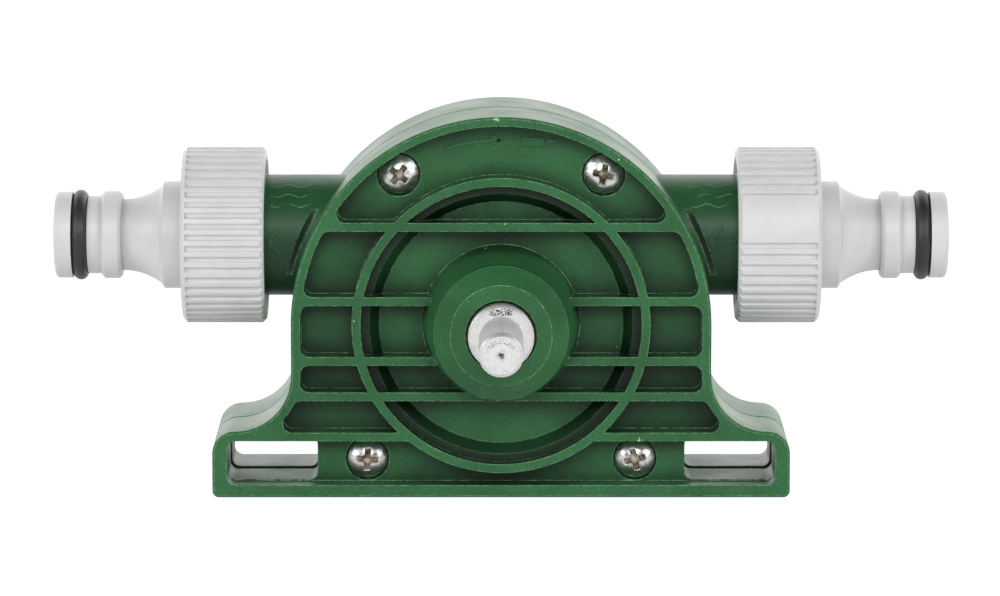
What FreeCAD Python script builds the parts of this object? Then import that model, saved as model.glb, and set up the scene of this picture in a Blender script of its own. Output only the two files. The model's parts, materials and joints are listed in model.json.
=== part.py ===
import FreeCAD, Part
import math
import os
from FreeCAD import Vector

# Self-priming transfer pump that a power drill turns. Millimetres.
# X runs along the two ports, Y runs away from the drill, Z is up.
# The origin is the middle of the flat base, under the shaft and on the seam of the two housings.

# ---- housings ----
body_depth = 31.0          # front rib plane to rear rib plane
body_radius = 38.6         # arched top, about the shaft
shaft_height = 32.0        # shaft axis above the base
foot_flat = 0.0            # level stretch on top of each foot
foot_height = 12.3
foot_sweep = 10.4          # concave round between side and foot
foot_corner = 4.2          # convex round at the end of the foot
base_corner = 1.2
rim_wall = 1.7
base_flange = 2.32
foot_end_wall = 2.7
pocket_depth = 4.5
pocket_corner = 1.7
pocket_wall = 2.5          # material under each pocket floor
front_edge_chamfer = 0.35
seam_chamfer = 0.4
inner_corner = 0.2         # smallest round left on an outline moved inwards
cut_margin = 1.0           # how far a cutter runs past the face it opens
key_half_length = 10.0     # foot key: a tongue of the rear housing in the sole of the front one
key_reach = 3.0
key_height = 1.8
key_gap = 0.1
hollow_wall = 2.5

# ---- ribs on both end faces ----
rib_wall = 1.6
rib_above_shaft = [18.3, 4.55, -6.55, -13.15, -20.66]
crossing_ribs = 4          # the first four also cross the inside of the ring
rib_bury = 1.25            # how deep ribs and bosses are sunk into a pocket floor
ring_margin = 5.4          # ring outside, beyond the chamber inside
ring_wall = 1.6
ledge_depth = 2.5
ledge_width = 1.6
dish_slope = 1.7

# ---- shaft hub on the front face ----
hub_hole_gap = 0.5         # between the hole in the hub and the shaft
hub_face_width = 2.8
hub_bevel = 3.05
hub_bevel_depth = 3.3
hub_flare = 2.15           # how much wider the hub is at its foot
hub_face_reach = 10.9      # ahead of the rib plane
hub_lip = 2.5

# ---- chamber ----
chamber_radius = 22.0
chamber_wall = 3.4
cam_rise = 4.0
cam_half_angle = 24.0
wear_plate = 0.6
wear_plate_gap = 0.1       # plate edge to chamber wall
gasket_width = 1.8
gasket_thickness = 0.6
gasket_inset = 0.6

# ---- ports ----
port_height = 46.7
port_radius = 11.2
port_bore = 8.0
port_length = 12.4         # end face of each port tube, beyond the side of the body
port_channel_start = 14.0
port_socket_depth = 1.2    # how far the tube sits in the skirt of the front housing
port_socket_gap = 0.1
port_wall = 2.6
relief_start = 0.9         # slit on the tube, outside the arch
relief_end = 1.9
relief_depth = 1.8
thread_pitch = 1.814
thread_major = 13.22
thread_minor = 12.06
thread_collar = 6.6
thread_lead = 0.8
thread_end_margin = 0.5
port_thread_turns = 3
nut_thread_turns = 4
ridge_root_half = 0.55
ridge_crest_half = 0.14
thread_bury = 0.2          # how far each ridge is sunk into its own wall

# ---- union nuts ----
nut_wall = 2.8
nut_overlap = 7.5          # how far the nut reaches back over the port tube
nut_length = 15.3
nut_face_wall = 3.0
thread_gap = 0.28          # nut to port tube, at crest and root
nut_ribs = 50
nut_groove_radius = 0.62
nut_groove_depth = 0.42
nut_panel_angle = 24.0     # smooth field without ribs
nut_panel_tilt = 19.0      # middle of that field above the level of the port
nut_end_margin = 0.9
nut_groove_start = 0.2
nut_panel_slack = 0.1      # degrees
nut_edge = 0.7
running_gap = 0.1

# ---- hose nipples ----
nipple_neck = 9.925
nipple_neck_reach = 3.6    # beyond the nut
nipple_flange_gap = 0.45   # inside the nut's thread
nipple_funnel = 2.6
funnel_step = 0.5          # funnel mouth inside the bore of the port tube
nipple_bevel = 0.975
nipple_bevel_length = 0.7
flare_first_length = 2.3
flare_last_length = 4.8
flare_bend = 0.43          # how hollow the flare is, 0.5 is straight
waist_radius = 6.6
collar_radius = 8.1
collar_length = 3.8
collar_edge = 0.6
barrel_radius = 7.2
barrel_length = 2.5
groove_radius = 5.6
groove_width = 2.9
nose_radius = 8.0
nose_length = 3.2
nose_edge = 0.8
nose_bend = 0.24           # middle point of the rounded nose edge
nipple_bore = 4.3
nose_ring_section = 1.36
nose_ring_gap = 0.03
washer_thickness = 2.0
washer_bore = 8.2

# ---- foot slots ----
slot_length = 16.6
slot_low = 2.6
slot_height = 8.0
slot_corner = 1.5
slot_wall = 1.7
slot_step = 0.25           # the rear slot is smaller by this much all round
slot_seam_groove = 0.7
slot_seam_depth = 0.6

# ---- housing screws ----
upper_screw_inset = 5.29   # inside the arch
upper_screw_angle = 55.64  # above the level of the shaft, degrees
lower_screw_offset = 9.2   # inside the foot slot
lower_screw_z = 6.5
screw_head_radius = 3.7
screw_head_height = 2.5
screw_head_rim = 0.9
screw_seat_depth = 1.2
screw_seat_radius = 4.05
screw_shank_radius = 1.9
screw_tip_gap = 0.7
screw_point = 2.2
screw_hole_gap = 0.3
pilot_gap = 0.05
boss_radius = 4.6
recess_width = 1.15
recess_reach = 2.5
recess_depth = 1.9
recess_taper = 0.35        # width at the bottom of the recess, as a part of its width on top
recess_lift = 0.02         # how far the recess starts above the head
head_chamfer = 0.25
screw_tip_radius = 0.4
recess_turns = [38.0, 12.0, 4.0, -14.0]   # how far each cross recess is turned, degrees

# ---- shaft and bearings ----
shaft_radius = 6.0
shank_radius = 4.0
shoulder_reach = 13.0      # ahead of the rib plane
shank_reach = 32.0
shank_chamfer = 0.5
shoulder_chamfer = 0.4
journal_radius = 4.0
journal_gap = 0.05
shaft_gap = 0.06
plate_bore_gap = 0.24
front_bush_length = 7.5
seal_length = 4.8
seal_lip = 1.2
seal_gap = 0.2             # between the front bush and the seal
lip_gap = 0.02
lip_throat = 0.5           # how far the seal opens towards the front
lip_bevel = 0.3
retainer_thickness = 0.8
retainer_gap = 0.6
front_bush_wall = 2.5
clip_thickness = 0.9
clip_width = 1.8
clip_groove_depth = 0.8
clip_mouth = 3.0
clip_gap = 0.35
rear_bush_wall = 2.4
rear_bush_length = 4.6
journal_end_gap = 0.3
rear_boss_wall = 4.6
pin_radius = 1.5
pin_end_gap = 0.3

# ---- impeller ----
vane_count = 6
vane_wall = 2.2
vane_tip_gap = 0.3
vane_bulb = 1.5
impeller_side_gap = 0.3
core_wall = 2.6
sleeve_wall = 1.8

# ---- sizes and places that follow ----
foot_half_width = body_radius + foot_sweep + foot_flat + foot_corner
slot_outer = foot_half_width - foot_end_wall
slot_inner = slot_outer - slot_length
slot_high = slot_low + slot_height
ring_outer = chamber_radius + ring_margin
ring_inner = ring_outer - ring_wall
ledge_inner = ring_inner - ledge_width
dish_floor_radius = ledge_inner - dish_slope
hub_hole_radius = shaft_radius + hub_hole_gap
hub_face_radius = hub_hole_radius + hub_face_width
hub_neck_radius = hub_face_radius + hub_bevel
hub_base_radius = hub_neck_radius + hub_flare
hub_neck_reach = hub_face_reach - hub_bevel_depth
bearing_seat_radius = shaft_radius + front_bush_wall
retainer_bore = shaft_radius + retainer_gap
clip_reach = shaft_radius + clip_width
clip_groove = shaft_radius - clip_groove_depth
rear_bush_radius = journal_radius + rear_bush_wall
rear_boss_radius = rear_bush_radius + rear_boss_wall
core_radius = shaft_radius + core_wall
sleeve_radius = core_radius + sleeve_wall
upper_screw_reach = body_radius - upper_screw_inset
upper_screw_x = upper_screw_reach * math.cos(math.radians(upper_screw_angle))
upper_screw_z = shaft_height + upper_screw_reach * math.sin(math.radians(upper_screw_angle))
lower_screw_x = slot_inner - lower_screw_offset
port_reach = body_radius + port_length
nut_bore = thread_major + thread_gap
nut_thread_minor = thread_minor + thread_gap
nut_radius = nut_bore + nut_wall
nut_start = port_reach - nut_overlap
nut_end = nut_start + nut_length
nipple_flange_radius = nut_thread_minor - nipple_flange_gap
nipple_neck_end = nut_end + nipple_neck_reach
nipple_cone_end = nipple_neck_end + nipple_bevel_length
nipple_cone_radius = nipple_neck - nipple_bevel
nipple_flare_mid = nipple_cone_end + flare_first_length
nipple_flare_radius = waist_radius + flare_bend * (nipple_cone_radius - waist_radius)
nipple_waist_end = nipple_flare_mid + flare_last_length
collar_end = nipple_waist_end + collar_length
barrel_end = collar_end + barrel_length
nose_end = barrel_end + groove_width + nose_length
front_y = -body_depth / 2
rear_y = body_depth / 2
chamber_front = front_y + pocket_depth + pocket_wall
chamber_rear = -chamber_front
rib_heights = [shaft_height + offset for offset in rib_above_shaft]
thread_start = port_reach - thread_lead - thread_end_margin - port_thread_turns * thread_pitch
nipple_flange_top = nut_end - nut_face_wall - 2 * running_gap
hub_face_y = front_y - hub_face_reach
bearing_seat_y = hub_face_y + hub_lip
screw_seat_y = front_y + pocket_depth + screw_seat_depth
screw_length = chamber_rear - screw_tip_gap - screw_seat_y

along_x = Vector(1, 0, 0)
along_y = Vector(0, 1, 0)
along_z = Vector(0, 0, 1)
shaft_point = Vector(0, 0, shaft_height)


def block(x0, x1, y0, y1, z0, z1):
    return Part.makeBox(x1 - x0, y1 - y0, z1 - z0, Vector(x0, y0, z0))


def shaft_disc(radius, y0, y1):
    """Round piece on the shaft axis."""
    return Part.makeCylinder(radius, y1 - y0, Vector(0, y0, shaft_height), along_y)


def shaft_ring(outer, inner, y0, y1):
    return shaft_disc(outer, y0, y1).cut(shaft_disc(inner, y0, y1))


def turned_on_shaft(points):
    """Solid of revolution about the shaft from (radius, y) corners."""
    corners = [Vector(radius, y, shaft_height) for radius, y in points]
    face = Part.Face(Part.makePolygon(corners + corners[:1]))
    return face.revolve(shaft_point, along_y, 360)


def port_rod(radius, x0, x1):
    """Round piece on the port axis."""
    return Part.makeCylinder(radius, x1 - x0, Vector(x0, 0, port_height), along_x)


def turned_on_port(points):
    """Solid of revolution about the port axis from (x, radius) corners."""
    corners = [Vector(x, 0, port_height + radius) for x, radius in points]
    face = Part.Face(Part.makePolygon(corners + corners[:1]))
    return face.revolve(Vector(0, 0, port_height), along_x, 360)


def outlet_side(shape):
    """The inlet piece turned half round, so that it sits on the outlet port."""
    turned = shape.copy()
    turned.rotate(Vector(0, 0, 0), along_z, 180)
    return turned


def joined(shapes):
    whole = shapes[0].multiFuse(shapes[1:])
    return whole.removeSplitter()


def corner_arc(cx, cz, radius, start, end):
    """Arc in the XZ plane from one angle to another, degrees from +X."""
    def place(angle):
        turn = math.radians(angle)
        return Vector(cx + radius * math.cos(turn), 0, cz + radius * math.sin(turn))
    return Part.Arc(place(start), place((start + end) / 2), place(end)).toShape()


def straight(start, end):
    """List with the line between two points, empty where they meet."""
    return [Part.makeLine(start, end)] if start.distanceToPoint(end) > 1e-6 else []


def outline_face(inset):
    """Front outline of the housings, moved inwards by inset."""
    radius = body_radius - inset
    sweep = foot_sweep + inset
    corner = foot_corner - inset
    sharp = max(base_corner - inset, inner_corner)
    sweep_x = body_radius + foot_sweep
    sweep_z = foot_height + foot_sweep
    corner_x = foot_half_width - foot_corner
    corner_z = foot_height - foot_corner
    side_x = foot_half_width - inset
    edges = [corner_arc(0, shaft_height, radius, 0, 180)]
    for side in (-1, 1):
        def at(x, z):
            return Vector(side * x, 0, z)
        turn = (lambda angle: angle) if side == 1 else (lambda angle: 180 - angle)
        edges += straight(at(radius, shaft_height), at(radius, sweep_z))
        edges.append(corner_arc(side * sweep_x, sweep_z, sweep, turn(180), turn(270)))
        edges += straight(at(sweep_x, sweep_z - sweep), at(corner_x, corner_z + corner))
        edges.append(corner_arc(side * corner_x, corner_z, corner, turn(0), turn(90)))
        edges += straight(at(side_x, corner_z), at(side_x, inset + sharp))
        edges.append(corner_arc(side * (side_x - sharp), inset + sharp, sharp, turn(0), turn(-90)))
    base_x = side_x - sharp
    edges += straight(Vector(-base_x, 0, inset), Vector(base_x, 0, inset))
    return Part.Face(Part.Wire(Part.__sortEdges__(edges)))


def plate(face, y0, y1):
    """Flat face in the XZ plane pushed out from y0 to y1."""
    moved = face.copy()
    moved.translate(Vector(0, y0, 0))
    return moved.extrude(Vector(0, y1 - y0, 0))


def edges_along_y(shape, keep):
    """Straight edges along Y where two faces meet at a real corner."""
    chosen = []
    for edge in shape.Edges:
        first, last = edge.Vertexes[0].Point, edge.Vertexes[-1].Point
        upright = abs(first.x - last.x) < 1e-6 and abs(first.z - last.z) < 1e-6
        if not upright or abs(first.y - last.y) < 1e-3 or not keep(first):
            continue
        sides = shape.ancestorsOfType(edge, Part.Face)
        normals = [face.normalAt(*face.Surface.parameter(first)) for face in sides]
        if len(normals) == 2 and abs(normals[0].dot(normals[1])) < 0.97:
            chosen.append(edge)
    return chosen


def rounded_pocket(solid, radius):
    """Rounds the upright corners of a pocket that lie against the rim."""
    def near_rim(point):
        return math.hypot(point.x, point.z - shaft_height) > ring_outer + 2
    corners = edges_along_y(solid, near_rim)
    return solid.makeFillet(radius, corners) if corners else solid


def pocket_levels():
    """Low and high limits of the pockets that the ribs leave, from the top down."""
    lows = [height + rib_wall / 2 for height in rib_heights] + [base_flange]
    highs = [shaft_height + body_radius] + [height - rib_wall / 2 for height in rib_heights]
    return list(zip(lows, highs))


def rim_pockets(y0, y1):
    """Pockets between the rim, the ribs and the ring."""
    field = plate(outline_face(rim_wall), y0, y1)
    ring = shaft_disc(ring_outer, y0, y1)
    levels = pocket_levels()
    pockets = []
    for low, high in levels[:-1]:
        band = block(-foot_half_width, foot_half_width, y0, y1, low, high)
        pockets += field.common(band).cut(ring).Solids
    low, high = levels[-1]
    ends = foot_half_width - foot_end_wall
    pockets += block(-ends, ends, y0, y1, low, high).cut(ring).Solids
    return [rounded_pocket(pocket, pocket_corner) for pocket in pockets]


def ring_dish(face, inwards):
    """Stepped round dish inside the ring. inwards is +1 from the front face and -1 from the rear."""
    floor = face + inwards * pocket_depth
    ledge = face + inwards * ledge_depth
    return turned_on_shaft(
        [
            (0, face),
            (ring_inner, face),
            (ring_inner, ledge),
            (ledge_inner, ledge),
            (dish_floor_radius, floor),
            (0, floor),
        ]
    )


def ring_ribs(face, inwards):
    """The ribs that cross the dish."""
    y0, y1 = sorted([face, face + inwards * (pocket_depth + rib_bury)])
    disc = shaft_disc(ring_inner + ring_wall / 2, y0, y1)
    ribs = []
    for height in rib_heights[:crossing_ribs]:
        bar = block(-ring_outer, ring_outer, y0, y1, height - rib_wall / 2, height + rib_wall / 2)
        ribs.append(bar.common(disc))
    return ribs


def screw_places():
    return [
        (-upper_screw_x, upper_screw_z),
        (upper_screw_x, upper_screw_z),
        (-lower_screw_x, lower_screw_z),
        (lower_screw_x, lower_screw_z),
    ]


def screw_rods(radius, y0, y1):
    return [Part.makeCylinder(radius, y1 - y0, Vector(x, y0, z), along_y) for x, z in screw_places()]


def slot_cutter(side, grow, y0, y1):
    x0, x1 = sorted([side * (slot_inner - grow), side * (slot_outer + grow)])
    box = block(x0, x1, y0, y1, slot_low - grow, slot_high + grow)
    corners = edges_along_y(box, lambda point: True)
    return box.makeFillet(slot_corner, corners)


def hollow():
    """Space left between the chamber wall and the skirt, in both housings."""
    y0, y1 = chamber_front, chamber_rear
    space = plate(outline_face(hollow_wall), y0, y1)
    keep = [shaft_disc(chamber_radius + chamber_wall, y0, y1)]
    keep += screw_rods(boss_radius, y0, y1)
    low, high = port_height - port_bore - port_wall, port_height + port_bore + port_wall
    keep.append(block(-body_radius, body_radius, y0, y1, low, high))
    for side in (-1, 1):
        x0, x1 = sorted([side * (slot_inner - slot_wall), side * foot_half_width])
        keep.append(block(x0, x1, y0, y1, 0, foot_height))
    return space.cut(keep)


def port_channels():
    """Straight water ways from the chamber out to the port tubes."""
    ways = []
    for side in (-1, 1):
        x0, x1 = sorted([side * port_channel_start, side * (port_reach + cut_margin)])
        ways.append(port_rod(port_bore, x0, x1))
    return ways


def port_sockets():
    """Half-round notches in the skirt of the front housing that the port tubes drop into."""
    reach = body_radius + cut_margin
    radius = port_radius + port_socket_gap
    rods = [port_rod(radius, -reach, 0), port_rod(radius, 0, reach)]
    inner = shaft_disc(body_radius - port_socket_depth - port_socket_gap, front_y, rear_y)
    return [rod.cut(inner) for rod in rods]


def gasket_faces():
    """Path of the gasket on the seam: round the chamber wall and along both port channels."""
    outer_radius = chamber_radius + gasket_inset + gasket_width
    inner_radius = chamber_radius + gasket_inset
    outer_half = port_bore + gasket_inset + gasket_width
    inner_half = port_bore + gasket_inset
    end_x = body_radius - port_socket_depth - pocket_depth
    y0, y1 = -gasket_thickness / 2, gasket_thickness / 2
    outer = shaft_disc(outer_radius, y0, y1)
    low, high = port_height - outer_half, port_height + outer_half
    outer = outer.fuse(block(-end_x, end_x, y0, y1, low, high))
    outer = outer.common(plate(outline_face(rim_wall), y0, y1))
    inner = shaft_disc(inner_radius, y0, y1)
    low, high = port_height - inner_half, port_height + inner_half
    inner = inner.fuse(block(-body_radius, body_radius, y0, y1, low, high))
    return outer.cut(inner)


def housing_block(face, seam):
    """Plain housing half, chamfered round its end face and where the halves meet."""
    y0, y1 = sorted([face, seam])
    solid = plate(outline_face(0), y0, y1)
    at_face = [edge for edge in solid.Edges if all(abs(v.Y - face) < 1e-6 for v in edge.Vertexes)]
    solid = solid.makeChamfer(front_edge_chamfer, at_face)
    at_seam = [edge for edge in solid.Edges if all(abs(v.Y - seam) < 1e-6 for v in edge.Vertexes)]
    return solid.makeChamfer(seam_chamfer, at_seam)


def hub():
    neck_y = front_y - hub_neck_reach
    foot_y = front_y + pocket_depth + rib_bury
    return turned_on_shaft(
        [
            (0, foot_y),
            (hub_base_radius, foot_y),
            (hub_base_radius, front_y + pocket_depth),
            (hub_neck_radius, neck_y),
            (hub_face_radius, hub_face_y),
            (0, hub_face_y),
        ]
    )


def foot_key(gap):
    """Tongue under the seam that lines up both soles. A gap makes it the notch that takes it."""
    half = key_half_length + gap
    return block(-half, half, -key_reach - gap, cut_margin, 0, key_height + gap)


def front_housing():
    solid = housing_block(front_y, 0)
    floor = front_y + pocket_depth
    solid = solid.cut(rim_pockets(front_y, floor) + [ring_dish(front_y, 1)])
    solid = joined([solid, hub()] + ring_ribs(front_y, 1))
    cuts = [shaft_disc(chamber_radius, chamber_front, 0)]
    cuts.append(shaft_disc(hub_hole_radius, hub_face_y - cut_margin, chamber_front))
    cuts.append(shaft_disc(bearing_seat_radius, bearing_seat_y, chamber_front))
    cuts += screw_rods(screw_shank_radius + screw_hole_gap, screw_seat_y, cut_margin)
    cuts += screw_rods(screw_seat_radius, floor - cut_margin, screw_seat_y)
    cuts += port_channels() + port_sockets()
    for side in (-1, 1):
        cuts.append(slot_cutter(side, 0, front_y + cut_margin, cut_margin))
        cuts.append(slot_cutter(side, slot_seam_depth, -slot_seam_groove, cut_margin))
    cuts += [hollow(), gasket_faces(), foot_key(key_gap)]
    return solid.cut(cuts).removeSplitter()


def tube_cutters():
    """Room for the front housing, and the relief slit on the front of a tube."""
    front_part = shaft_disc(body_radius - port_socket_depth, front_y, 0)
    slit_back = relief_depth - port_radius
    slit = shaft_ring(body_radius + relief_end, body_radius + relief_start, front_y, slit_back)
    return [front_part, slit]


def port_tube():
    """One inlet tube with its plain outside, thread collar and relief slit. The bore is cut later."""
    root = ring_outer - ring_wall
    tube = port_rod(port_radius, root, port_reach)
    collar_start = port_reach - thread_collar
    collar = turned_on_port(
        [
            (collar_start - thread_lead, port_bore),
            (collar_start - thread_lead, port_radius),
            (collar_start, thread_minor),
            (port_reach - thread_lead, thread_minor),
            (port_reach, thread_minor - thread_lead),
            (port_reach, port_bore),
        ]
    )
    return tube.fuse(collar).cut(tube_cutters()).fuse(port_thread())


def ridge_helix(root, crest, start, turns):
    """Right-handed ridge about the port axis, from start outwards. Inside threads have crest < root."""
    path = Part.makeHelix(thread_pitch, thread_pitch * turns, (root + crest) / 2)
    corners = [
        Vector(root, 0, -ridge_root_half),
        Vector(root, 0, ridge_root_half),
        Vector(crest, 0, ridge_crest_half),
        Vector(crest, 0, -ridge_crest_half),
    ]
    profile = Part.makePolygon(corners + corners[:1])
    ridge = Part.Wire(path.Edges).makePipeShell([profile], True, True)
    ridge.rotate(Vector(0, 0, 0), along_y, 90)
    ridge.translate(Vector(start, 0, port_height))
    return ridge


def port_thread():
    return ridge_helix(thread_minor - thread_bury, thread_major, thread_start, port_thread_turns)


def nut_thread():
    """The nut's ridge runs half a pitch behind the port's ridge, so they are in mesh."""
    start = thread_start + thread_pitch / 2
    return ridge_helix(nut_bore + thread_bury, nut_thread_minor, start, nut_thread_turns)


def rear_housing():
    solid = housing_block(rear_y, 0)
    floor = rear_y - pocket_depth
    solid = solid.cut(rim_pockets(floor, rear_y) + [ring_dish(rear_y, -1)])
    boss = shaft_disc(rear_boss_radius, floor - rib_bury, rear_y)
    solid = joined([solid, boss, foot_key(0)] + ring_ribs(rear_y, -1))
    tube = port_tube()
    solid = solid.fuse([tube, outlet_side_tube(tube)])
    cuts = [shaft_disc(chamber_radius, 0, chamber_rear)]
    seat_end = chamber_rear + rear_bush_length
    cuts.append(shaft_disc(rear_bush_radius, chamber_rear, seat_end))
    cuts.append(shaft_disc(journal_radius + cut_margin, chamber_rear, seat_end + journal_end_gap))
    cuts += screw_rods(screw_shank_radius + pilot_gap, -cut_margin, chamber_rear)
    cuts += port_channels()
    for side in (-1, 1):
        cuts.append(slot_cutter(side, -slot_step, -cut_margin, rear_y + cut_margin))
        cuts.append(slot_cutter(side, slot_seam_depth, -cut_margin, slot_seam_groove))
    cuts += [hollow(), gasket_faces()]
    return solid.cut(cuts).removeSplitter()


def outlet_side_tube(tube):
    """The outlet tube: the inlet tube turned round, with its root cut again from the front."""
    root = -(ring_outer - ring_wall)
    reach = -(body_radius + relief_end + cut_margin)
    middle = port_rod(port_radius, reach, root).cut(tube_cutters())
    outer = block(-port_reach, reach, front_y, rear_y, 0, 2 * port_height)
    return outlet_side(tube).common(outer).fuse(middle)


def housing_gasket():
    return gasket_faces()


def cam_insert():
    """Crescent between the ports that bends the vanes."""
    def rim(angle, radius):
        turn = math.radians(angle)
        return Vector(radius * math.cos(turn), 0, shaft_height + radius * math.sin(turn))
    start, end = 90 - cam_half_angle, 90 + cam_half_angle
    outer = Part.Arc(rim(start, chamber_radius), rim(90, chamber_radius), rim(end, chamber_radius))
    crest = rim(90, chamber_radius - cam_rise)
    inner = Part.Arc(rim(end, chamber_radius), crest, rim(start, chamber_radius))
    face = Part.Face(Part.Wire([outer.toShape(), inner.toShape()]))
    return plate(face, chamber_front + wear_plate, chamber_rear - wear_plate)


def front_wear_plate():
    outer = chamber_radius - wear_plate_gap
    return shaft_ring(outer, retainer_bore, chamber_front, chamber_front + wear_plate)


def rear_wear_plate():
    outer = chamber_radius - wear_plate_gap
    return shaft_ring(outer, shaft_radius + plate_bore_gap, chamber_rear - wear_plate, chamber_rear)


def front_bush():
    return shaft_ring(
        bearing_seat_radius, shaft_radius + shaft_gap, bearing_seat_y, bearing_seat_y + front_bush_length
    )


def seal_start():
    return bearing_seat_y + front_bush_length + seal_gap


def shaft_seal():
    """Lip seal: an outer ring, a web and a lip that leans towards the chamber."""
    y0 = seal_start()
    y1 = y0 + seal_length
    lip = shaft_radius + lip_gap
    return turned_on_shaft(
        [
            (bearing_seat_radius, y0),
            (bearing_seat_radius, y1),
            (bearing_seat_radius - seal_lip, y1),
            (bearing_seat_radius - seal_lip, y0 + seal_lip),
            (lip + seal_lip, y0 + seal_lip),
            (lip + lip_bevel, y1 - seal_lip),
            (lip, y1 - seal_lip),
            (lip + lip_throat, y0),
        ]
    )


def seal_retainer():
    y0 = seal_start() + seal_length
    return shaft_ring(bearing_seat_radius, retainer_bore, y0, y0 + retainer_thickness)


def clip_start():
    return seal_start() + seal_length + retainer_thickness + clip_gap


def shaft_clip():
    """Open retaining ring in a groove of the shaft."""
    y0 = clip_start()
    ring = shaft_ring(clip_reach, clip_groove, y0, y0 + clip_thickness)
    half = clip_mouth / 2
    low = shaft_height - clip_reach - cut_margin
    mouth = block(-half, half, y0, y0 + clip_thickness, low, shaft_height)
    return ring.cut(mouth)


def rear_bush():
    y0 = chamber_rear
    return shaft_ring(rear_bush_radius, journal_radius + journal_gap, y0, y0 + rear_bush_length)


def drive_shaft():
    tip = front_y - shank_reach
    shoulder = front_y - shoulder_reach
    journal = chamber_rear - impeller_side_gap
    end = chamber_rear + rear_bush_length
    shaft = turned_on_shaft(
        [
            (0, tip),
            (shank_radius - shank_chamfer, tip),
            (shank_radius, tip + shank_chamfer),
            (shank_radius, shoulder),
            (shaft_radius - shoulder_chamfer, shoulder),
            (shaft_radius, shoulder + shoulder_chamfer),
            (shaft_radius, clip_start()),
            (clip_groove, clip_start()),
            (clip_groove, clip_start() + clip_thickness),
            (shaft_radius, clip_start() + clip_thickness),
            (shaft_radius, journal),
            (journal_radius, journal),
            (journal_radius, end),
            (0, end),
        ]
    )
    return shaft.cut(pin_rod(shaft_radius))


def pin_rod(half_length):
    """Cross rod through the shaft, level with the ports."""
    return Part.makeCylinder(pin_radius, 2 * half_length, Vector(-half_length, 0, shaft_height), along_x)


def drive_pin():
    return pin_rod(core_radius - pin_end_gap)


def impeller_half_length():
    return chamber_rear - wear_plate - impeller_side_gap


def impeller_core():
    half = impeller_half_length()
    return shaft_ring(core_radius, shaft_radius, -half, half).cut(pin_rod(core_radius))


def impeller_vanes():
    """Rubber sleeve on the core with straight vanes that end in a round bulb."""
    half = impeller_half_length()
    bulb_centre = chamber_radius - vane_tip_gap - vane_bulb
    pieces = [shaft_disc(sleeve_radius, -half, half)]
    for number in range(vane_count):
        angle = 360 * number / vane_count
        low, high = shaft_height - vane_wall / 2, shaft_height + vane_wall / 2
        blade = block(0, bulb_centre, -half, half, low, high)
        bulb = Part.makeCylinder(vane_bulb, 2 * half, Vector(bulb_centre, -half, shaft_height), along_y)
        for piece in (blade, bulb):
            piece.rotate(shaft_point, along_y, angle)
            pieces.append(piece)
    return joined(pieces).cut(shaft_disc(core_radius, -half, half))


def cross_recess(turn):
    """Tapered cross for the driver, at the origin, opening towards -Y."""
    arms = []
    for angle in (0, 90):
        foot = recess_reach * recess_taper
        wide = [(-recess_reach, 0), (recess_reach, 0), (foot, recess_depth), (-foot, recess_depth)]
        corners = [Vector(x, y, -recess_width / 2) for x, y in wide]
        arm = Part.Face(Part.makePolygon(corners + corners[:1])).extrude(Vector(0, 0, recess_width))
        arm.rotate(Vector(0, 0, 0), along_y, angle + turn)
        arms.append(arm)
    well = Part.makeCone(recess_width, recess_width * recess_taper, recess_depth, Vector(0, 0, 0), along_y)
    return joined(arms + [well])


def pan_screw(turn):
    """Pan-head screw with its seat at y = 0 and its shank towards +Y."""
    top = -screw_head_height
    rim = -screw_head_rim
    rise = screw_head_height - screw_head_rim
    round_radius = (screw_head_radius ** 2 + rise ** 2) / (2 * rise)
    half_turn = math.asin(screw_head_radius / round_radius) / 2
    middle_y = top + round_radius * (1 - math.cos(half_turn))
    dome = Part.Arc(
        Vector(screw_head_radius, rim, 0),
        Vector(round_radius * math.sin(half_turn), middle_y, 0),
        Vector(0, top, 0),
    )
    tip = screw_length
    corners = [
        Vector(0, top, 0),
        Vector(0, tip, 0),
        Vector(screw_tip_radius, tip, 0),
        Vector(screw_shank_radius, tip - screw_point, 0),
        Vector(screw_shank_radius, 0, 0),
        Vector(screw_head_radius - head_chamfer, 0, 0),
        Vector(screw_head_radius, -head_chamfer, 0),
        Vector(screw_head_radius, rim, 0),
    ]
    wire = Part.Wire([dome.toShape()] + Part.makePolygon(corners).Edges)
    screw = Part.Face(wire).revolve(Vector(0, 0, 0), along_y, 360)
    recess = cross_recess(turn)
    recess.translate(Vector(0, top - recess_lift, 0))
    return screw.cut(recess)


def housing_screws():
    screws = []
    for (x, z), turn in zip(screw_places(), recess_turns):
        screw = pan_screw(turn)
        screw.translate(Vector(x, screw_seat_y, z))
        screws.append(screw)
    return Part.makeCompound(screws)


def union_nut():
    """Ribbed union nut on the inlet port."""
    outer = turned_on_port(
        [
            (nut_start, 0),
            (nut_start, nut_radius - nut_edge),
            (nut_start + nut_edge, nut_radius),
            (nut_end - nut_edge, nut_radius),
            (nut_end, nut_radius - nut_edge),
            (nut_end, 0),
        ]
    )
    cavity_end = nut_end - nut_face_wall
    cavity = turned_on_port(
        [
            (nut_start - cut_margin, 0),
            (nut_start - cut_margin, nut_bore + nut_edge),
            (nut_start, nut_bore + nut_edge),
            (nut_start + nut_edge, nut_bore),
            (cavity_end, nut_bore),
            (cavity_end, 0),
        ]
    )
    bore = port_rod(nipple_neck + running_gap, cavity_end - cut_margin, nut_end + cut_margin)
    nut = outer.cut([cavity, bore])
    nut = nut.cut(nut_grooves())
    return nut.fuse(nut_thread())


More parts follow.
